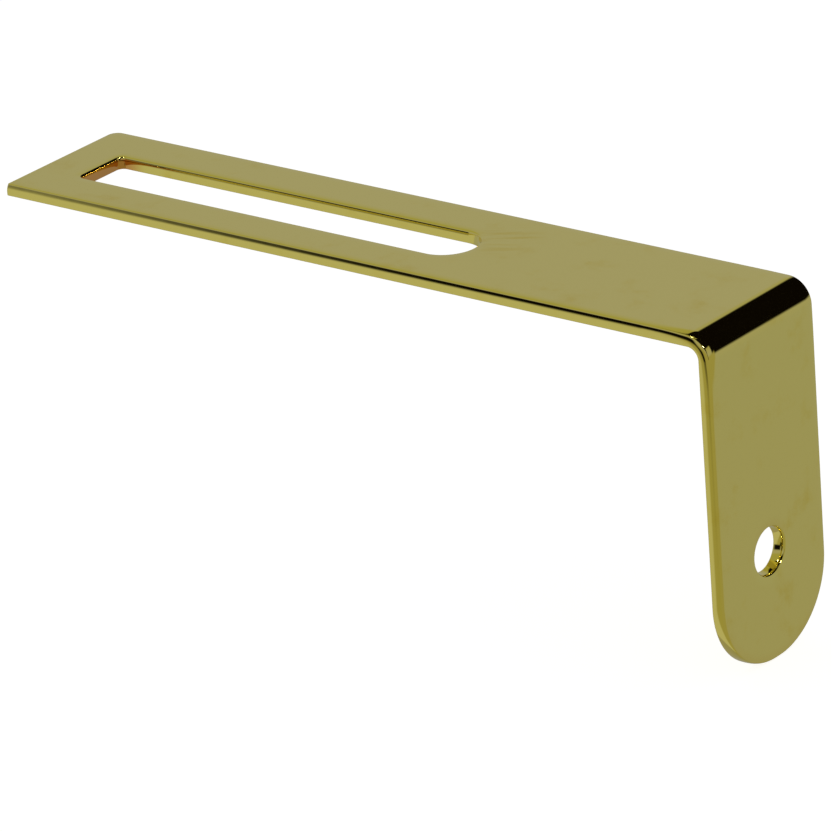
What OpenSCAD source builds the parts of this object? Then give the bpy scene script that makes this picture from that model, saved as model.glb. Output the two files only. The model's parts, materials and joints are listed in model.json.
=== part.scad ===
// Slotted angle stay: one flat strip, pierced, tumbled and bent once to a right angle.
// The long leg carries the adjusting slot, and the short leg carries the fixing hole.
// The origin is the centre of the fixing hole on the outer face of the short leg.
// +X points out of that face, the long leg runs towards -X, and +Z points up from the foot.

/* [Strip] */
// Width of the strip
strip_w = 12.7; // [10:0.1:20]
// Thickness of the strip
strip_t = 1.0; // [0.8:0.05:1.6]
// Radius that tumbling leaves on every edge
edge_r = 0.1; // [0.05:0.05:0.15]

/* [Legs] */
// Length of the long leg, from its free end to the outer face of the short leg
long_leg = 64.8; // [52:0.1:90]
// Length of the short leg, from the foot's tip to the top face of the long leg
short_leg = 27; // [20:0.1:45]
// Radius of the free end's corner on the +Y side
far_corner_r = 0.9; // [0.2:0.1:4]
// Radius of the free end's corner on the -Y side, where the strip was cut off nearly square
near_corner_r = 0.2; // [0.2:0.1:4]
// Corner radius of the rounded foot, at most half the strip's width
foot_r = 6.1; // [2:0.1:10]

/* [Bend] */
// Inner radius of the bend
bend_inner_r = 0.9; // [0.6:0.1:3]

/* [Adjusting slot] */
// Width of the slot, which clears an M4 screw and sets the slot's round end
slot_w = 4.8; // [3:0.1:6.4]
// Length of the slot from end to end
slot_len = 35.5; // [15:0.1:42]
// Metal left between the free end and the slot's square end
slot_end_gap = 4.1; // [2:0.1:6]
// Corner radius at the slot's square end
slot_corner_r = 0.5; // [0.2:0.1:1.4]
// Sideways shift of the slot from the strip's centre line
slot_shift = -0.2; // [-0.5:0.1:0.5]

/* [Fixing hole] */
// Diameter of the hole, which clears an M3 screw
hole_d = 3.5; // [3:0.1:6]
// Distance from the foot's tip to the hole's centre
hole_to_tip = 8.5; // [6:0.1:11]
// Sideways shift of the hole from the strip's centre line
hole_shift = -0.4; // [-0.5:0.1:0.5]

/* [Hidden] */

$fn = 96;
over = 1;                                     // how far a cutter passes each face
bend_outer_r = bend_inner_r + strip_t;
half_w = strip_w / 2;
half_slot = slot_w / 2;
foot_corner_r = min(foot_r, half_w);
top_z = short_leg - hole_to_tip;              // top face of the long leg
centre_y = -hole_shift;                       // centre line of the strip
gold = [0.80, 0.69, 0.36];

// Half of the strip's section, from its middle (x = 0) out to a rounded edge at x = reach.
// The thickness runs from y = 0 down to y = -strip_t.
module half_strip(reach) {
    translate([0, -strip_t])
        square([reach - edge_r, strip_t]);
    translate([0, edge_r - strip_t])
        square([reach, strip_t - 2 * edge_r]);
    for (y = [-edge_r, edge_r - strip_t])
        translate([reach - edge_r, y])
            circle(r = edge_r);
}

// Half of a cutter's section: an opening with its wall at x = reach, which leaves the
// metal's edges rounded where the wall meets each face.
module half_opening(reach) {
    difference() {
        translate([0, -strip_t - over])
            square([reach + edge_r, strip_t + 2 * over]);
        translate([reach, edge_r - strip_t])
            square([2 * edge_r, strip_t - 2 * edge_r]);
        for (y = [-edge_r, edge_r - strip_t])
            translate([reach + edge_r, y])
                circle(r = edge_r);
    }
}

// One end of a plate or of a slot: two round corners and the straight stretch between
// them, or one half circle where the corners meet. The end starts at x = 0 and reaches
// x = corner_r, and children() is the half section that it carries round.
module rounded_end(half, corner_r) {
    reach = half - corner_r;
    for (y = reach > 0 ? [-reach, reach] : [0])
        translate([0, y, 0])
            rotate_extrude()
                children();
    if (reach > 0)
        translate([0, reach, 0])
            rotate([90, 0, 0])
                linear_extrude(height = 2 * reach)
                    children();
}

// A straight run along X: children() is the half section on each side of the middle.
module straight_run(reach) {
    rotate([90, 0, 90])
        linear_extrude(height = reach) {
            children();
            mirror([1, 0])
                children();
        }
}

// The +Y half of a flat leg with its upper face at z = 0: it starts at x = 0 and ends at
// x = reach in one corner of the given radius.
module half_leg(reach, corner_r) {
    side = half_w - corner_r;
    rotate([90, 0, 90])
        linear_extrude(height = reach - corner_r)
            half_strip(half_w);
    translate([reach - corner_r, side, 0]) {
        rotate_extrude()
            half_strip(corner_r);
        if (side > 0)
            rotate([90, 0, 0])
                linear_extrude(height = side)
                    half_strip(corner_r);
    }
}

// A flat leg with a corner radius for each side of its end.
module leg(reach, plus_y_r, minus_y_r) {
    half_leg(reach, plus_y_r);
    mirror([0, 1, 0])
        half_leg(reach, minus_y_r);
}

// The bend: a quarter turn of the strip's section about an axis along Y.
module bend() {
    rotate([90, 0, 0])
        rotate_extrude(angle = 90)
            translate([bend_outer_r, 0])
                rotate([0, 0, -90]) {
                    half_strip(half_w);
                    mirror([1, 0])
                        half_strip(half_w);
                }
}

// The whole strip with its bend, before it is pierced.
module bent_strip() {
    translate([-bend_outer_r, centre_y, top_z])
        mirror([1, 0, 0])
            leg(long_leg - bend_outer_r, far_corner_r, near_corner_r);
    translate([-bend_outer_r, centre_y, top_z - bend_outer_r])
        bend();
    translate([0, centre_y, top_z - bend_outer_r])
        rotate([0, 90, 0])
            leg(short_leg - bend_outer_r, foot_corner_r, foot_corner_r);
}

// Cutter for the adjusting slot, from its square end at x = 0 to its round end.
module slot_cutter() {
    translate([slot_corner_r, 0, 0])
        straight_run(slot_len - slot_corner_r - half_slot)
            half_opening(half_slot);
    translate([slot_corner_r, 0, 0])
        mirror([1, 0, 0])
            rounded_end(half_slot, slot_corner_r)
                half_opening(slot_corner_r);
    translate([slot_len - half_slot, 0, 0])
        rounded_end(half_slot, half_slot)
            half_opening(half_slot);
}

// Cutter for the fixing hole, about the Z axis.
module hole_cutter() {
    rotate_extrude()
        half_opening(hole_d / 2);
}

// The bracket: the bent strip with its adjusting slot and its fixing hole.
module stay_bracket() {
    color(gold)
        difference() {
            bent_strip();
            translate([slot_end_gap - long_leg, centre_y + slot_shift, top_z])
                slot_cutter();
            rotate([0, 90, 0])
                hole_cutter();
        }
}

stay_bracket();
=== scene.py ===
"""Looks of a slotted angle stay: a polished, gold-plated strip, pierced and bent once.

The strip is modelled as it is made: a flat blank gets its corners, the adjusting slot and
the fixing hole are punched, the press rolls off the rims of its outer face, tumbling
softens the other edges, and the blank is folded once. A pale bench and a plain studio
stand round it. Lengths are in metres, and mm() turns the millimetres of the design into
them.
"""

import json
import logging
import math
from collections.abc import Callable
from dataclasses import dataclass, field
from enum import Enum

import bmesh
import bpy
from mathutils import Matrix, Vector

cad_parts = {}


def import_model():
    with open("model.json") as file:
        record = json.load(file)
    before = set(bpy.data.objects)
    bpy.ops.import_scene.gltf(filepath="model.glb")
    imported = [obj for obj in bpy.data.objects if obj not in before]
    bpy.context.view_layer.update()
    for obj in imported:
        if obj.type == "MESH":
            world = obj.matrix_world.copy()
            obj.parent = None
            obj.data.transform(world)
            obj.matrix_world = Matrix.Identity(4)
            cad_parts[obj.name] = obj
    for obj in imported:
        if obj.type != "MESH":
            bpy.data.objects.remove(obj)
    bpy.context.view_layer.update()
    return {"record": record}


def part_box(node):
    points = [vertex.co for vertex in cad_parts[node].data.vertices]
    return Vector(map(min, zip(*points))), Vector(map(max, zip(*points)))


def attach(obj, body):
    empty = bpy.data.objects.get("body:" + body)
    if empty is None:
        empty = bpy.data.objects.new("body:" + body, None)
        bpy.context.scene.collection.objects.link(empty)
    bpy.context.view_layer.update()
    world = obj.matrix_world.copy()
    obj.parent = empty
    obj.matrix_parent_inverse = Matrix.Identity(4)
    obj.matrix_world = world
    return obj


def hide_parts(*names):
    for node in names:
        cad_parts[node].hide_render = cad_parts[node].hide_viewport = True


LOG = logging.getLogger("stay")

NODE = "stay_bracket"
BODY = "root"
WELD = 1e-6  # points closer than a micrometre are one point
NEAR = 1e-5  # two places closer than a hundredth of a millimetre are the same place
BLACK = (0.003, 0.002, 0.001)  # black cloth, in linear colour


def mm(value: float) -> float:
    """Returns a length given in millimetres in metres."""
    return value * 0.001


def linear(hex_colour: str) -> tuple[float, float, float, float]:
    """Turns an sRGB hex colour into the linear colour that shaders take.

    Args:
        hex_colour: Six hex digits, with or without a leading hash.

    Returns:
        Linear red, green and blue, and an alpha of one.
    """
    digits = hex_colour.lstrip("#")
    channels = [int(digits[i : i + 2], 16) / 255 for i in (0, 2, 4)]
    flat = [c / 12.92 if c <= 0.04045 else ((c + 0.055) / 1.055) ** 2.4 for c in channels]
    return (flat[0], flat[1], flat[2], 1.0)


def add_node(
    tree: bpy.types.NodeTree,
    kind: str,
    inputs: dict | None = None,
    **settings: object,
) -> bpy.types.Node:
    """Adds a node with its settings, its values and its links.

    Args:
        tree: The node tree that takes the node.
        kind: The node's type name.
        inputs: Socket name or index to a value, or to the output socket linked to it.
        **settings: Attributes of the node, such as operation or blend_type.

    Returns:
        The new node.
    """
    node = tree.nodes.new(kind)
    for name, value in settings.items():
        setattr(node, name, value)
    for socket, value in (inputs or {}).items():
        if isinstance(value, bpy.types.NodeSocket):
            tree.links.new(value, node.inputs[socket])
        else:
            node.inputs[socket].default_value = value
    return node


def direction(azimuth: float, elevation: float) -> Vector:
    """Points from the object to a place round it.

    Args:
        azimuth: Degrees round the object, 0 in front of it (-Y) and 90 on its +X side.
        elevation: Degrees above the horizon.

    Returns:
        A unit vector.
    """
    a, e = math.radians(azimuth), math.radians(elevation)
    return Vector((math.sin(a) * math.cos(e), -math.cos(a) * math.cos(e), math.sin(e)))


class Part(Enum):
    """What of a mesh a test picks."""

    VERTS = "verts"
    EDGES = "edges"
    FACES = "faces"


def deselect_all() -> None:
    """Leaves edit mode and deselects every object."""
    if bpy.context.mode != "OBJECT":
        bpy.ops.object.mode_set(mode="OBJECT")
    bpy.ops.object.select_all(action="DESELECT")


def edit(piece: bpy.types.Object) -> None:
    """Makes a piece the only selected object and enters edit mode on it.

    Args:
        piece: The object to edit.
    """
    deselect_all()
    piece.select_set(True)
    bpy.context.view_layer.objects.active = piece
    bpy.ops.object.mode_set(mode="EDIT")


def pick(piece: bpy.types.Object, part: Part, test: Callable[[object], bool]) -> int:
    """Selects, in edit mode, the elements of a piece that pass a test and no others.

    Args:
        piece: The object in edit mode.
        part: Whether vertices, edges or faces are tested.
        test: Takes a bmesh element and says whether it is picked.

    Returns:
        How many elements were picked.
    """
    bpy.ops.mesh.select_all(action="DESELECT")
    mode = {Part.VERTS: "VERT", Part.EDGES: "EDGE", Part.FACES: "FACE"}[part]
    bpy.ops.mesh.select_mode(type=mode)
    mesh = bmesh.from_edit_mesh(piece.data)
    picked = [item for item in getattr(mesh, part.value) if test(item)]
    for item in picked:
        item.select_set(True)
    mesh.select_flush_mode()
    bmesh.update_edit_mesh(piece.data)
    return len(picked)


def add_block(name: str, low: Vector, high: Vector) -> bpy.types.Object:
    """Adds a block with its place in its mesh.

    Args:
        name: The object's name.
        low: Its lowest corner.
        high: Its highest corner.

    Returns:
        The block, with its object at the origin.
    """
    deselect_all()
    bpy.ops.mesh.primitive_cube_add(size=1, location=(low + high) / 2)
    block = bpy.context.object
    block.name = name
    block.scale = high - low
    bpy.ops.object.transform_apply(location=True, rotation=True, scale=True)
    return block


def apply_modifier(piece: bpy.types.Object, kind: str, **settings: object) -> None:
    """Adds a modifier to a piece with its settings and applies it.

    Args:
        piece: The object to change.
        kind: The modifier's type name.
        **settings: Attributes of the modifier.
    """
    deselect_all()
    piece.select_set(True)
    bpy.context.view_layer.objects.active = piece
    modifier = piece.modifiers.new(kind.lower(), kind)
    for name, value in settings.items():
        setattr(modifier, name, value)
    bpy.ops.object.modifier_apply(modifier=modifier.name)


def punch(piece: bpy.types.Object, cutter: bpy.types.Object) -> None:
    """Cuts a punch's shape out of a piece and removes the punch.

    Args:
        piece: The object that is pierced.
        cutter: The punch, a closed shape.
    """
    apply_modifier(piece, "BOOLEAN", operation="DIFFERENCE", solver="EXACT", object=cutter)
    bpy.data.objects.remove(cutter)


def tidy_mesh() -> None:
    """Merges doubled points of the mesh in edit mode and turns its faces outwards."""
    bpy.ops.mesh.select_all(action="SELECT")
    bpy.ops.mesh.remove_doubles(threshold=WELD)
    bpy.ops.mesh.normals_make_consistent(inside=False)


@dataclass(frozen=True)
class Slot:
    """The adjusting slot: a square end with small corners and a round end.

    Attributes:
        middle: Centre of the slot on the long leg's top face.
        length: From end to end along X.
        width: Across the strip.
        corner_r: Corner radius at the square end, which is nearer the free end.
        corner_steps: Segments in each corner of the square end.
        round_steps: Segments in each quarter of the round end.
    """

    middle: Vector
    length: float
    width: float
    corner_r: float = mm(0.5)
    corner_steps: int = 10
    round_steps: int = 32

    @property
    def square_end(self) -> float:
        """X of the square end."""
        return self.middle.x - self.length / 2

    @property
    def round_end(self) -> float:
        """X of the round end."""
        return self.middle.x + self.length / 2

    def cutter(self, depth: float) -> bpy.types.Object:
        """Builds the punch for the slot.

        Args:
            depth: How far the punch reaches above and below the top face.

        Returns:
            The cutter as a closed block with its corners rounded.
        """
        half = self.width / 2
        low = Vector((self.square_end, self.middle.y - half, self.middle.z - depth))
        high = Vector((self.round_end, self.middle.y + half, self.middle.z + depth))
        block = add_block("slot_punch", low, high)
        edit(block)
        corners = (
            (self.square_end, self.corner_r, self.corner_steps),
            (self.round_end, half - WELD, self.round_steps),
        )
        for x, radius, steps in corners:
            pick(block, Part.EDGES, lambda e, x=x: upright(e) and at(e, 0, x))
            bpy.ops.mesh.bevel(
                offset=radius, segments=steps, affect="EDGES", clamp_overlap=False
            )
        deselect_all()
        return block


@dataclass(frozen=True)
class Hole:
    """The round fixing hole in the short leg.

    Attributes:
        middle: Centre of the hole on the leg's outer face.
        radius: Its radius.
        steps: Segments in its circle.
    """

    middle: Vector
    radius: float
    steps: int = 96

    def cutter(self, flat: Vector, depth: float) -> bpy.types.Object:
        """Builds the punch for the hole.

        Args:
            flat: Centre of the hole on the blank, before it is folded.
            depth: How far the punch reaches above and below that place.

        Returns:
            The cutter as a closed cylinder.
        """
        deselect_all()
        bpy.ops.mesh.primitive_cylinder_add(
            vertices=self.steps, radius=self.radius, depth=2 * depth, location=flat
        )
        punch_pin = bpy.context.object
        punch_pin.name = "hole_punch"
        bpy.ops.object.transform_apply(location=True, rotation=True, scale=True)
        return punch_pin


@dataclass(frozen=True)
class Rim:
    """How pressing and tumbling leave the rims of the outer face.

    The face falls a little towards its outlines and ends in a tight round, and the wall
    under it leans out for half its height.

    Attributes:
        width: Width of the tight round on the face.
        depth: How far below the face the wall stands upright.
        crown: How far the face falls before the tight round.
        crown_width: How far from the tight round that fall starts.
        crown_steps: Rings in that fall.
        sag: How much the -Y side's rim sags in the middle of the bend.
        far_share: What share of that sag the +Y side's rim has.
        sag_width: How far from the side the sag starts.
        draw: How far the fold draws the outer face in at each side.
        fade: How far from the middle of the bend the sag has almost gone.
        steps: Segments in the tight round.
    """

    width: float = mm(0.15)
    depth: float = mm(0.6)
    crown: float = mm(0.035)
    crown_width: float = mm(0.7)
    crown_steps: int = 8
    sag: float = mm(0.24)
    far_share: float = 0.2
    sag_width: float = mm(0.85)
    draw: float = mm(0.04)
    fade: float = mm(3.0)
    steps: int = 12


def upright(edge: bmesh.types.BMEdge) -> bool:
    """Says whether an edge stands along Z.

    Args:
        edge: The edge.

    Returns:
        True when its ends lie one above the other.
    """
    a, b = (v.co for v in edge.verts)
    return (a - b).xy.length < NEAR


def at(edge: bmesh.types.BMEdge, axis: int, place: float) -> bool:
    """Says whether both ends of an edge lie at a place along an axis.

    Args:
        edge: The edge.
        axis: 0 for X, 1 for Y and 2 for Z.
        place: The place along that axis.

    Returns:
        True when both ends do.
    """
    return all(abs(v.co[axis] - place) < NEAR for v in edge.verts)


@dataclass(frozen=True)
class PlatedGold:
    """Polished gold-coloured plating on a stamped strip of brass.

    Plating follows the polished metal under it, so it shines like a mirror, with a pale
    greenish gold colour. Polishing leaves a faint waviness, and handling leaves faint warm
    stains and a few smears beside the slot. On the walls of the slot's square end an orange
    tint is painted in: a painted warm reflection of light bouncing between those walls.

    Attributes:
        name: The material's name.
        plating: Colour of clean plating.
        stained: Colour of a stain or a smear.
        painted_reflection: Colour of the painted warm reflection in the slot's square end.
        roughness: Of clean plating.
        stain_roughness: Of a stain or a smear.
        wave_length: From crest to crest of the waviness.
        wave_height: Height of the waviness.
        blotch: Size of a stain.
        smear_length: Length of a smear.
        smear_width: Width of a smear.
        smear_slant: Degrees between the smears and the strip.
        smear_place: Centre of the smears along X and Y, from the slot's round end.
        smear_reach: How far from that centre the smears start to fade and are gone.
        painted_reflection_run: How far from the square end the painted reflection starts to fade
            and is gone.
        painted_reflection_fade: How far below the top face it begins and is at its full.
        painted_reflection_border: How far behind the slot's walls it reaches, at its full and at
            most.
    """

    name: str = "polished gold plating over stamped brass"
    plating: str = "#F3E582"
    stained: str = "#EDD862"
    # Painted reflection: an orange tint standing in for light bounced between the slot's walls.
    painted_reflection: str = "#E2A860"
    roughness: float = 0.05
    stain_roughness: float = 0.13
    wave_length: float = mm(2.5)
    wave_height: float = mm(0.004)
    blotch: float = mm(3)
    smear_length: float = mm(4)
    smear_width: float = mm(0.4)
    smear_slant: float = 28.0
    smear_place: tuple[float, float] = (mm(1.2), mm(2.3))
    smear_reach: tuple[float, float] = (mm(1.0), mm(3.6))
    painted_reflection_run: tuple[float, float] = (mm(0.4), mm(2.6))
    painted_reflection_fade: tuple[float, float] = (mm(0.1), mm(0.25))
    painted_reflection_border: tuple[float, float] = (mm(0.2), mm(0.3))

    def material(self, strip: "BentStrip") -> bpy.types.Material:
        """Builds the finish.

        Args:
            strip: The strip that it dresses, whose slot places the smears and the painted
                reflection.

        Returns:
            The material.
        """
        material = bpy.data.materials.new(self.name)
        material.use_nodes = True
        tree = material.node_tree
        tree.nodes.clear()
        place = add_node(tree, "ShaderNodeTexCoord").outputs["Object"]
        stains = add_node(
            tree,
            "ShaderNodeMath",
            {0: self._stains(tree, place), 1: self._smears(tree, place, strip.slot)},
            operation="MAXIMUM",
        ).outputs[0]
        colour = linear(self.plating)
        # Orange painted reflection on the walls of the slot's square end.
        painted_reflection_mask = self._painted_reflection(tree, place, strip.slot)
        for cover, over in ((stains, self.stained), (painted_reflection_mask, self.painted_reflection)):
            colour = add_node(
                tree,
                "ShaderNodeMix",
                {"Factor": cover, "A": colour, "B": linear(over)},
                data_type="RGBA",
            ).outputs["Result"]
        rough = add_node(
            tree,
            "ShaderNodeMapRange",
            {"Value": stains, "To Min": self.roughness, "To Max": self.stain_roughness},
            interpolation_type="SMOOTHSTEP",
        )
        wave = add_node(
            tree,
            "ShaderNodeTexNoise",
            {"Vector": place, "Scale": 1 / self.wave_length, "Detail": 2.0},
        )
        bump = add_node(
            tree,
            "ShaderNodeBump",
            {"Height": wave.outputs["Fac"], "Strength": 1.0, "Distance": self.wave_height},
        )
        gold = add_node(
            tree,
            "ShaderNodeBsdfPrincipled",
            {
                "Base Color": colour,
                "Roughness": rough.outputs["Result"],
                "Metallic": 1.0,
                "Normal": bump.outputs["Normal"],
            },
        )
        add_node(tree, "ShaderNodeOutputMaterial", {"Surface": gold.outputs["BSDF"]})
        return material

    def _stains(
        self, tree: bpy.types.NodeTree, place: bpy.types.NodeSocket
    ) -> bpy.types.NodeSocket:
        """Adds soft blotches.

        Args:
            tree: The material's node tree.
            place: The point on the strip.

        Returns:
            How stained the point is.
        """
        blotch = add_node(
            tree,
            "ShaderNodeTexNoise",
            {"Vector": place, "Scale": 1 / self.blotch, "Detail": 4.0, "Roughness": 0.6},
        )
        return add_node(
            tree,
            "ShaderNodeMapRange",
            {"Value": blotch.outputs["Fac"], "From Min": 0.52, "From Max": 0.85},
            interpolation_type="SMOOTHSTEP",
        ).outputs["Result"]

    def _smears(
        self, tree: bpy.types.NodeTree, place: bpy.types.NodeSocket, slot: Slot
    ) -> bpy.types.NodeSocket:
        """Adds slanting smears beside the slot's round end.

        Args:
            tree: The material's node tree.
            place: The point on the strip.
            slot: The adjusting slot.

        Returns:
            How smeared the point is.
        """
        along, across = self.smear_place
        full, gone = self.smear_reach
        centre = Vector((slot.round_end + along, slot.middle.y + across, slot.middle.z))
        away = add_node(
            tree,
            "ShaderNodeVectorMath",
            {0: place, 1: centre},
            operation="DISTANCE",
        )
        spot = add_node(
            tree,
            "ShaderNodeMapRange",
            {"Value": away.outputs["Value"], "From Min": gone, "From Max": full},
            interpolation_type="SMOOTHSTEP",
        )
        turned = add_node(
            tree,
            "ShaderNodeMapping",
            {
                "Vector": place,
                "Rotation": (0, 0, math.radians(self.smear_slant)),
                "Scale": (self.smear_length, self.smear_width, self.smear_length),
            },
            vector_type="TEXTURE",
        )
        streak = add_node(
            tree,
            "ShaderNodeTexNoise",
            {"Vector": turned.outputs["Vector"], "Scale": 1.0, "Detail": 3.0},
        )
        streaks = add_node(
            tree,
            "ShaderNodeMapRange",
            {"Value": streak.outputs["Fac"], "From Min": 0.42, "From Max": 0.62},
            interpolation_type="SMOOTHSTEP",
        )
        return add_node(
            tree,
            "ShaderNodeMath",
            {0: spot.outputs["Result"], 1: streaks.outputs["Result"]},
            operation="MULTIPLY",
        ).outputs[0]

    def _painted_reflection(
        self, tree: bpy.types.NodeTree, place: bpy.types.NodeSocket, slot: Slot
    ) -> bpy.types.NodeSocket:
        """Adds the painted warm reflection on the walls of the slot's square end.

        Args:
            tree: The material's node tree.
            place: The point on the strip.
            slot: The adjusting slot.

        Returns:
            How strongly the painted reflection covers the point.
        """
        # A soft box-shaped mask for the painted reflection inside the slot's square end.
        axes = add_node(tree, "ShaderNodeSeparateXYZ", {0: place})
        near = slot.middle.y - slot.width / 2
        far = slot.middle.y + slot.width / 2
        full_run, gone_run = self.painted_reflection_run
        top, under = self.painted_reflection_fade
        full, gone = self.painted_reflection_border
        borders = (
            ("Z", slot.middle.z - top, slot.middle.z - under),
            ("X", slot.square_end + gone_run, slot.square_end + full_run),
            ("X", slot.square_end - gone, slot.square_end - full),
            ("Y", near - gone, near - full),
            ("Y", far + gone, far + full),
        )
        patch = 1.0
        for axis, start, end in borders:
            inside = add_node(
                tree,
                "ShaderNodeMapRange",
                {"Value": axes.outputs[axis], "From Min": start, "From Max": end},
                interpolation_type="SMOOTHSTEP",
            )
            patch = add_node(
                tree,
                "ShaderNodeMath",
                {0: patch, 1: inside.outputs["Result"]},
                operation="MULTIPLY",
            ).outputs[0]
        return patch


@dataclass
class BentStrip:
    """The whole bracket: one strip with its bend, its slot and its hole.

    Attributes:
        low: Lowest corner of its box.
        high: Highest corner of its box.
        slot: The adjusting slot.
        hole: The fixing hole.
        rim: How the rims of its outer face are left.
        thickness: Of the metal.
        bend_inner_r: Radius of the bend's inner face.
        foot_r: Corner radius of the foot.
        far_corner_r: Corner radius of the free end on the +Y side.
        edge_r: Radius that tumbling leaves on the other edges.
        sharp: Degrees between two faces from which tumbling rounds their edge.
        bend_steps: Segments in the bend.
        foot_steps: Segments in each corner of the foot.
        corner_steps: Segments in the free end's corner.
        edge_steps: Segments in a tumbled edge.
        line_gap: Distance between the lines across the strip beside the bend.
        line_count: How many of those lines each side of the bend has.
        piece: The strip, once it is built.
    """

    low: Vector
    high: Vector
    slot: Slot
    hole: Hole
    rim: Rim = field(default_factory=Rim)
    thickness: float = mm(1.0)
    bend_inner_r: float = mm(0.9)
    foot_r: float = mm(6.1)
    far_corner_r: float = mm(0.9)
    edge_r: float = mm(0.1)
    sharp: float = 40.0
    bend_steps: int = 36
    foot_steps: int = 48
    corner_steps: int = 10
    edge_steps: int = 5
    line_gap: float = mm(0.25)
    line_count: int = 16
    piece: bpy.types.Object | None = field(default=None, init=False)

    @property
    def bend_outer_r(self) -> float:
        """Radius of the bend's outer face."""
        return self.bend_inner_r + self.thickness

    @property
    def rim_z(self) -> float:
        """Z of the outer face's rims on the blank, below the face by its crown."""
        return self.high.z - self.rim.crown

    @property
    def bend_start(self) -> float:
        """X where the flat of the long leg ends."""
        return self.high.x - self.bend_outer_r

    @property
    def bend_run(self) -> float:
        """Length of the blank that the bend takes up, along its outer face."""
        return self.bend_outer_r * math.pi / 2

    def build(self) -> bpy.types.Object:
        """Models the strip.

        Returns:
            The finished piece.
        """
        self._blank()
        reach = 2 * self.thickness
        punch(self.piece, self.slot.cutter(reach))
        punch(self.piece, self.hole.cutter(self._flattened(self.hole.middle), reach))
        self._roll_off()
        self._tumble()
        self._cross_lines()
        self._fold()
        return self.piece

    def dress(self, finish: PlatedGold) -> None:
        """Gives the strip its finish and its body, and hides the imported part that it replaces.

        Args:
            finish: The finish of the whole strip.
        """
        self.piece.data.materials.clear()
        self.piece.data.materials.append(finish.material(self))
        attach(self.piece, BODY)
        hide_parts(NODE)
        LOG.info("%s: %d faces, %s", self.piece.name, len(self.piece.data.polygons), finish.name)

    def _blank(self) -> None:
        """Cuts the flat blank: both legs in line, a rounded foot and a nearly square end."""
        foot_x = self._flattened(Vector((self.high.x, 0, self.low.z))).x
        low = Vector((self.low.x, self.low.y, self.high.z - self.thickness))
        high = Vector((foot_x, self.high.y, self.rim_z))
        self.piece = add_block("plated_strip", low, high)
        edit(self.piece)
        corners = (
            (foot_x, self.low.y, self.foot_r, self.foot_steps),
            (foot_x, self.high.y, self.foot_r, self.foot_steps),
            (self.low.x, self.high.y, self.far_corner_r, self.corner_steps),
        )
        for x, y, radius, steps in corners:
            pick(
                self.piece,
                Part.EDGES,
                lambda e, x=x, y=y: upright(e) and at(e, 0, x) and at(e, 1, y),
            )
            bpy.ops.mesh.bevel(
                offset=radius, segments=steps, affect="EDGES", clamp_overlap=False
            )
        tidy_mesh()
        deselect_all()

    def _roll_off(self) -> None:
        """Rounds the rims of the outer face.

        The rounding is deeper than it is wide, so the blank is made thinner while its rims
        are rounded.
        """
        stretch = self.rim.width / self.rim.depth
        edit(self.piece)
        self._scale_thickness(stretch)
        pick(
            self.piece,
            Part.EDGES,
            lambda e: at(e, 2, self.rim_z) and e.calc_face_angle(0) > 1,
        )
        bpy.ops.mesh.bevel(
            offset=self.rim.width,
            segments=self.rim.steps,
            affect="EDGES",
            clamp_overlap=False,
            loop_slide=False,
        )
        self._scale_thickness(1 / stretch)
        tidy_mesh()
        self._crown()
        tidy_mesh()
        deselect_all()

    def _crown(self) -> None:
        """Raises the face inside its rims, steeply at first and then less and less."""
        steps = self.rim.crown_steps
        pick(
            self.piece,
            Part.FACES,
            lambda f: all(abs(v.co.z - self.rim_z) < NEAR / 10 for v in f.verts),
        )
        for i in range(steps):
            rise = (1 - i / steps) ** 2 - (1 - (i + 1) / steps) ** 2
            bpy.ops.mesh.inset(
                thickness=self.rim.crown_width / steps,
                depth=self.rim.crown * rise,
                use_boundary=True,
                use_even_offset=True,
                use_relative_offset=False,
            )

    def _scale_thickness(self, factor: float) -> None:
        """Scales the blank's thickness below its rims.

        Args:
            factor: New thickness over old.
        """
        bpy.ops.mesh.select_all(action="SELECT")
        bpy.ops.transform.resize(value=(1, 1, factor), center_override=(0, 0, self.rim_z))

    def _tumble(self) -> None:
        """Rounds the edges that the press left sharp."""
        apply_modifier(
            self.piece,
            "BEVEL",
            width=self.edge_r,
            segments=self.edge_steps,
            limit_method="ANGLE",
            angle_limit=math.radians(self.sharp),
            use_clamp_overlap=False,
        )

    def _cross_lines(self) -> None:
        """Cuts lines across the blank, close together in the bend and wider beside it."""
        step = self.bend_run / self.bend_steps
        inside = [i * step for i in range(self.bend_steps + 1)]
        beside = [(i + 1) * self.line_gap for i in range(self.line_count)]
        places = [-d for d in beside] + inside + [self.bend_run + d for d in beside]
        edit(self.piece)
        for place in places:
            bpy.ops.mesh.select_all(action="SELECT")
            bpy.ops.mesh.bisect(
                plane_co=(self.bend_start + place, 0, 0), plane_no=(1, 0, 0), threshold=WELD / 10
            )
        tidy_mesh()
        deselect_all()

    def _fold(self) -> None:
        """Folds the blank once.

        No operator keeps both legs flat and true to size, so each point is carried round
        the bend.
        """
        for point in self.piece.data.vertices:
            point.co = self._folded(point.co)
        edit(self.piece)
        tidy_mesh()
        deselect_all()
        self.piece.select_set(True)
        bpy.ops.object.shade_smooth()
        apply_modifier(self.piece, "WEIGHTED_NORMAL", mode="FACE_AREA", weight=50, keep_sharp=True)

    def _flattened(self, place: Vector) -> Vector:
        """Finds where a point of the short leg's outer face lies on the flat blank.

        Args:
            place: The point on the bracket.

        Returns:
            The point on the blank's outer face.
        """
        down = self.high.z - self.bend_outer_r - place.z
        return Vector((self.bend_start + self.bend_run + down, place.y, self.high.z))

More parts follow.
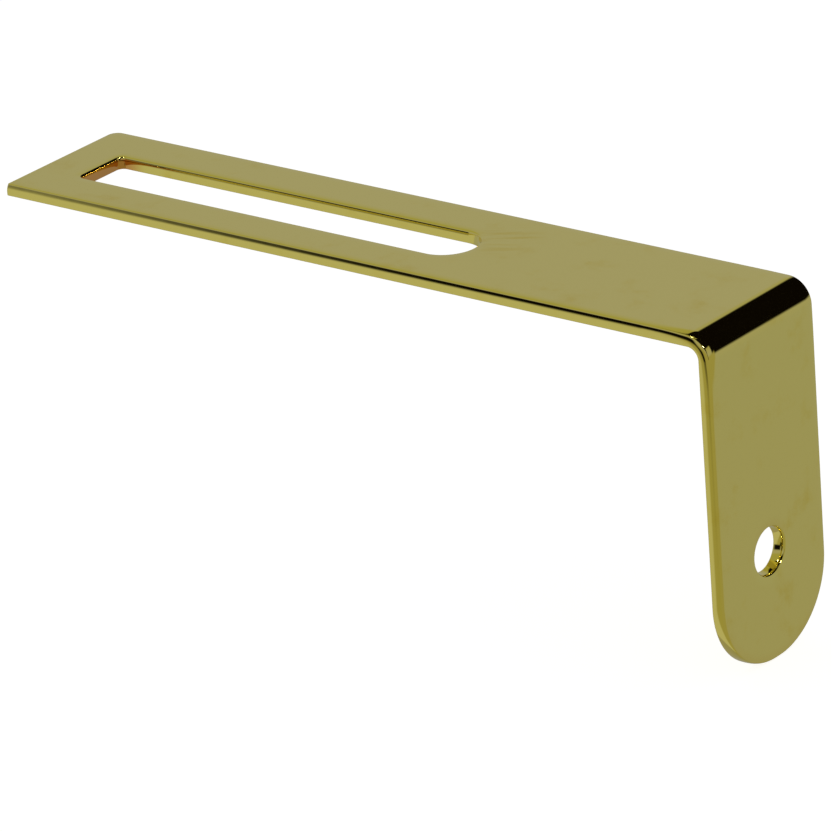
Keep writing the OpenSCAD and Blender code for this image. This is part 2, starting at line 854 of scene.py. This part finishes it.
    def _folded(self, place: Vector) -> Vector:
        """Carries a point of the flat blank to its place on the bracket.

        The outside of a fold is stretched along the strip, so its sides are drawn in and
        its rims sag.

        Args:
            place: The point on the blank.

        Returns:
            The point on the bracket.
        """
        run = place.x - self.bend_start
        deep = self.high.z - place.z
        middle_y = (self.low.y + self.high.y) / 2
        half = (self.high.y - self.low.y) / 2
        share = 1.0 if place.y < middle_y else self.rim.far_share
        near_bend = share * math.exp(-(((run - self.bend_run / 2) / self.rim.fade) ** 2) * 2)
        from_rim = min((half - abs(place.y - middle_y)) / self.rim.sag_width, 1)
        outer = 1 - deep / self.thickness
        across = (place.y - middle_y) * (1 - near_bend * outer * self.rim.draw / half)
        deep += near_bend * outer * self.rim.sag * (1 - from_rim) ** 2
        if run <= 0:
            return Vector((place.x, middle_y + across, self.high.z - deep))
        turn = min(run / self.bend_run, 1) * math.pi / 2
        radius = self.bend_outer_r - deep
        return Vector(
            (
                self.bend_start + radius * math.sin(turn),
                middle_y + across,
                self.high.z
                - self.bend_outer_r
                + radius * math.cos(turn)
                - max(run - self.bend_run, 0),
            )
        )


@dataclass(frozen=True)
class Bench:
    """The pale, matt bench top that the foot stands on.

    Attributes:
        name: The bench top's name.
        colour: Its colour.
        glow_colour: Colour of its steady glow.
        half_side: Half its width.
        glow: Strength of its glow, where 1 is white paper.
    """

    name: str = "bench_top"
    colour: str = "#C8C8C6"
    glow_colour: str = "#FFFFFF"
    half_side: float = 3.0
    glow: float = 0.87

    def build(self, level: float) -> bpy.types.Object:
        """Lays the bench top.

        Args:
            level: Its height.

        Returns:
            The bench top.
        """
        deselect_all()
        bpy.ops.mesh.primitive_plane_add(size=2 * self.half_side, location=(0, 0, level))
        bench = bpy.context.object
        bench.name = self.name
        bench.data.materials.append(self._paint())
        bench.visible_glossy = False
        LOG.info("%s at z = %.4f", bench.name, level)
        return bench

    def _paint(self) -> bpy.types.Material:
        """Builds the bench top's white matt paint.

        Part of its brightness is a steady glow, so that the shadow on it stays faint.

        Returns:
            The material.
        """
        material = bpy.data.materials.new("white matt paint")
        material.use_nodes = True
        tree = material.node_tree
        tree.nodes.clear()
        paint = add_node(
            tree,
            "ShaderNodeBsdfPrincipled",
            {
                "Base Color": linear(self.colour),
                "Roughness": 0.9,
                "Specular IOR Level": 0.1,
                "Emission Color": linear(self.glow_colour),
                "Emission Strength": self.glow,
            },
        )
        add_node(tree, "ShaderNodeOutputMaterial", {"Surface": paint.outputs["BSDF"]})
        material.cycles.emission_sampling = "NONE"
        return material


@dataclass(frozen=True)
class Zone:
    """A patch of the room between two bearings and two heights, with soft borders.

    Attributes:
        name: What stands there.
        colour: Its linear colour.
        bearings: Degrees round the room, 0 behind the bracket (+Y) and 90 on its +X side.
        heights: Degrees above the horizon.
        soft: Half the width of its borders in degrees.
    """

    name: str
    colour: tuple[float, float, float]
    bearings: tuple[float, float]
    heights: tuple[float, float]
    soft: float = 3.0

    def cover(
        self,
        tree: bpy.types.NodeTree,
        bearing: bpy.types.NodeSocket,
        height: bpy.types.NodeSocket,
    ) -> bpy.types.NodeSocket:
        """Adds the patch's mask.

        Args:
            tree: The world's node tree.
            bearing: Degrees round the room of the way that is looked.
            height: Degrees above the horizon of that way.

        Returns:
            How much of that way the patch covers.
        """
        mask = 1.0
        for value, (low, high) in ((bearing, self.bearings), (height, self.heights)):
            for place, side in ((low, self.soft), (high, -self.soft)):
                inside = add_node(
                    tree,
                    "ShaderNodeMapRange",
                    {"Value": value, "From Min": place - side, "From Max": place + side},
                    interpolation_type="SMOOTHSTEP",
                )
                mask = add_node(
                    tree,
                    "ShaderNodeMath",
                    {0: mask, 1: inside.outputs["Result"]},
                    operation="MULTIPLY",
                ).outputs[0]
        return mask


@dataclass(frozen=True)
class Studio:
    """What stands round the bench.

    The eye sees pale air, and the polished metal mirrors a mid grey room with dark and
    bright screens in it.

    Attributes:
        air: Brightness of the air, where 1 is white paper.
        fill: Brightness of the light that falls on the bench from all round.
        ceiling_bearings: Degrees round the room between which the ceiling's border falls.
        ceiling_border: Degrees above the horizon of that border, left and right of them.
        ceiling_soft: Half the width of that border in degrees.
        ceiling_open: Heights between which the ceiling gives way to its open middle.
        stops: Degrees above the horizon and the walls' linear colour there.
        zones: What stands in front of the walls, the nearest last.
    """

    air: float = 1.0
    fill: float = 0.28
    ceiling_bearings: tuple[float, float] = (-60.0, -25.0)
    ceiling_border: tuple[float, float] = (57.0, 36.0)
    ceiling_soft: float = 2.5
    ceiling_open: tuple[float, float] = (78.0, 85.0)
    stops: tuple[tuple[float, tuple[float, float, float]], ...] = (
        (-90, (0.30, 0.29, 0.20)),
        (-30, (0.355, 0.345, 0.32)),
        (-22, (0.367, 0.375, 0.375)),
        (0, (0.39, 0.39, 0.385)),
        (23, (0.392, 0.392, 0.395)),
        (30, (0.385, 0.38, 0.28)),
        (90, (0.37, 0.365, 0.20)),
    )
    zones: tuple[Zone, ...] = (
        Zone("warm corner", (0.37, 0.362, 0.16), (-200, -39), (29, 110), 3),
        Zone("back screen", BLACK, (-24, 68), (-1, 110), 4),
        Zone("warm wall", (0.345, 0.325, 0.18), (50, 200), (-110, 8), 5),
        Zone("warm wall's far part", (0.345, 0.325, 0.16), (-200, -144), (-110, 2), 4),
        Zone("bright wall", (0.49, 0.49, 0.42), (-147, -110), (-110, 0), 4),
        Zone("front screen", BLACK, (-164, -140), (-8, 13), 4),
        Zone("front screen's stand", BLACK, (-172, -160), (-21, -4), 4),
        Zone("doorway", BLACK, (98, 126), (-4, 60), 4),
        Zone("tripod and lens", BLACK, (120, 158), (24, 60), 4),
    )

    def build(self) -> None:
        """Builds the studio as the scene's world."""
        world = bpy.data.worlds.new("studio")
        bpy.context.scene.world = world
        world.use_nodes = True
        tree = world.node_tree
        tree.nodes.clear()
        ray = add_node(tree, "ShaderNodeLightPath")
        air = add_node(
            tree,
            "ShaderNodeBackground",
            {"Color": (1, 1, 1, 1), "Strength": self.air},
        )
        fill = add_node(
            tree,
            "ShaderNodeBackground",
            {"Color": (1, 1, 1, 1), "Strength": self.fill},
        )
        room = add_node(tree, "ShaderNodeBackground", {"Color": self._room(tree)})
        seen = add_node(
            tree,
            "ShaderNodeMixShader",
            {
                0: ray.outputs["Is Camera Ray"],
                1: fill.outputs["Background"],
                2: air.outputs["Background"],
            },
        )
        mirrored = add_node(
            tree,
            "ShaderNodeMixShader",
            {
                0: ray.outputs["Is Glossy Ray"],
                1: seen.outputs["Shader"],
                2: room.outputs["Background"],
            },
        )
        add_node(tree, "ShaderNodeOutputWorld", {"Surface": mirrored.outputs["Shader"]})

    def _room(self, tree: bpy.types.NodeTree) -> bpy.types.NodeSocket:
        """Adds the room as the metal sees it.

        Args:
            tree: The world's node tree.

        Returns:
            The room's colour.
        """
        way = add_node(tree, "ShaderNodeTexCoord").outputs["Generated"]
        axes = add_node(tree, "ShaderNodeSeparateXYZ", {0: way})
        rise = add_node(tree, "ShaderNodeMath", {0: axes.outputs["Z"]}, operation="ARCSINE")
        turn = add_node(
            tree,
            "ShaderNodeMath",
            {0: axes.outputs["X"], 1: axes.outputs["Y"]},
            operation="ARCTAN2",
        )
        height, bearing = (
            add_node(tree, "ShaderNodeMath", {0: angle.outputs[0]}, operation="DEGREES").outputs[0]
            for angle in (rise, turn)
        )
        covers = [(zone.cover(tree, bearing, height), zone.colour) for zone in self.zones]
        covers.append((self._ceiling(tree, bearing, height), BLACK))
        colour = self._walls(tree, height)
        for cover, over in covers:
            colour = add_node(
                tree,
                "ShaderNodeMix",
                {"Factor": cover, "A": colour, "B": (*over, 1)},
                data_type="RGBA",
            ).outputs["Result"]
        return colour

    def _walls(
        self, tree: bpy.types.NodeTree, height: bpy.types.NodeSocket
    ) -> bpy.types.NodeSocket:
        """Adds the walls' colours from the floor up.

        Args:
            tree: The world's node tree.
            height: Degrees above the horizon of the way that is looked.

        Returns:
            The walls' colour.
        """
        level = add_node(
            tree,
            "ShaderNodeMapRange",
            {"Value": height, "From Min": -90.0, "From Max": 90.0},
        )
        walls = add_node(tree, "ShaderNodeValToRGB", {"Fac": level.outputs["Result"]})
        ramp = walls.color_ramp
        while len(ramp.elements) < len(self.stops):
            ramp.elements.new(0.5)
        for element, (angle, colour) in zip(ramp.elements, self.stops):
            element.position = (angle + 90) / 180
            element.color = (*colour, 1)
        return walls.outputs["Color"]

    def _ceiling(
        self,
        tree: bpy.types.NodeTree,
        bearing: bpy.types.NodeSocket,
        height: bpy.types.NodeSocket,
    ) -> bpy.types.NodeSocket:
        """Adds the dark ceiling, whose border climbs to the left and whose middle is open.

        Args:
            tree: The world's node tree.
            bearing: Degrees round the room of the way that is looked.
            height: Degrees above the horizon of that way.

        Returns:
            How much of that way the ceiling covers.
        """
        left, right = self.ceiling_bearings
        left_border, right_border = self.ceiling_border
        dark_end, open_start = self.ceiling_open
        border = add_node(
            tree,
            "ShaderNodeMapRange",
            {
                "Value": bearing,
                "From Min": left,
                "From Max": right,
                "To Min": left_border,
                "To Max": right_border,
            },
        )
        above = add_node(
            tree,
            "ShaderNodeMath",
            {0: height, 1: border.outputs["Result"]},
            operation="SUBTRACT",
        )
        dark, closed = (
            add_node(
                tree,
                "ShaderNodeMapRange",
                {"Value": value, "From Min": start, "From Max": end},
                interpolation_type="SMOOTHSTEP",
            )
            for value, start, end in (
                (above.outputs[0], -self.ceiling_soft, self.ceiling_soft),
                (height, open_start, dark_end),
            )
        )
        return add_node(
            tree,
            "ShaderNodeMath",
            {0: dark.outputs["Result"], 1: closed.outputs["Result"]},
            operation="MULTIPLY",
        ).outputs[0]


@dataclass(frozen=True)
class Softbox:
    """A round soft lamp, which leaves a small bright spot on the polished corners.

    Attributes:
        name: The lamp's name.
        azimuth: Degrees round the object, as direction() takes them.
        elevation: Degrees above the horizon.
        spread: Degrees across, as the object sees it.
        radiance: How bright its face is, where 1 is white paper.
        distance: From the object to the lamp.
    """

    name: str
    azimuth: float
    elevation: float
    spread: float
    radiance: float
    distance: float = 0.7

    def build(self, middle: Vector) -> None:
        """Hangs the lamp so that it faces the object.

        Args:
            middle: Middle of the object.
        """
        back = direction(self.azimuth, self.elevation)
        lamp = bpy.data.lights.new(self.name, "AREA")
        lamp.shape = "DISK"
        lamp.size = 2 * self.distance * math.tan(math.radians(self.spread) / 2)
        lamp.energy = self.radiance * math.pi * math.pi * (lamp.size / 2) ** 2
        holder = bpy.data.objects.new(self.name, lamp)
        holder.visible_camera = False
        holder.visible_diffuse = False
        holder.matrix_world = Matrix.Translation(middle + back * self.distance) @ (
            back.to_track_quat("Z", "Y").to_matrix().to_4x4()
        )
        bpy.context.scene.collection.objects.link(holder)
        LOG.info("%s: %.1f degrees across", self.name, self.spread)


@dataclass(frozen=True)
class StudioCamera:
    """The camera: a long lens, a little above the bracket and to its right.

    Attributes:
        azimuth: Degrees round the object, as direction() takes them.
        elevation: Degrees above the horizon.
        roll: Degrees that the camera is turned about its line of sight.
        distance: From the aimed point to the lens.
        lens: Focal length in millimetres on a 36 mm sensor.
        aim: The aimed point, from the middle of the bracket's box.
    """

    azimuth: float = 39.486
    elevation: float = 22.763
    roll: float = -4.313
    distance: float = mm(476.66)
    lens: float = 279.8
    aim: Vector = field(default_factory=lambda: Vector((mm(0.603), mm(-0.12), mm(-1.134))))

    def build(self, middle: Vector) -> None:
        """Places the camera and makes it the scene's.

        Args:
            middle: Middle of the object.
        """
        back = direction(self.azimuth, self.elevation)
        data = bpy.data.cameras.new("studio_camera")
        data.lens = self.lens
        data.sensor_width = 36
        data.clip_start = 0.01
        data.clip_end = 20
        camera = bpy.data.objects.new("studio_camera", data)
        turn = back.to_track_quat("Z", "Y").to_matrix().to_4x4()
        roll = Matrix.Rotation(math.radians(self.roll), 4, "Z")
        place = Matrix.Translation(middle + self.aim + back * self.distance)
        camera.matrix_world = place @ turn @ roll
        bpy.context.scene.collection.objects.link(camera)
        bpy.context.scene.camera = camera


def mount(record: dict, name: str) -> dict:
    """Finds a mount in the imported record.

    Args:
        record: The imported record.
        name: The mount's name.

    Returns:
        The mount, with pos_m and dims.
    """
    return next(m for m in record["mounts"] if m["name"] == name)


def main() -> None:
    """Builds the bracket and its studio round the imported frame."""
    logging.basicConfig(level=logging.INFO, format="%(name)s: %(message)s")
    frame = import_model()
    low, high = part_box(NODE)
    slot = mount(frame["record"], "adjusting_slot")
    hole = mount(frame["record"], "fixing_hole")
    strip = BentStrip(
        low=low,
        high=high,
        slot=Slot(
            middle=Vector(slot["pos_m"]),
            length=mm(slot["dims"]["slot_length_mm"]),
            width=mm(2 * slot["dims"]["hole_r_mm"]),
        ),
        hole=Hole(middle=Vector(hole["pos_m"]), radius=mm(hole["dims"]["r_mm"])),
    )
    middle = (low + high) / 2
    StudioCamera().build(middle)
    strip.build()
    strip.dress(PlatedGold())
    Bench().build(low.z)
    Studio().build()
    Softbox("key_lamp", azimuth=-15, elevation=60, spread=9, radiance=16).build(middle)
    Softbox("front_lamp", azimuth=65, elevation=42, spread=9, radiance=30).build(middle)
    bpy.context.scene.view_settings.view_transform = "Standard"


if __name__ == "__main__":
    main()
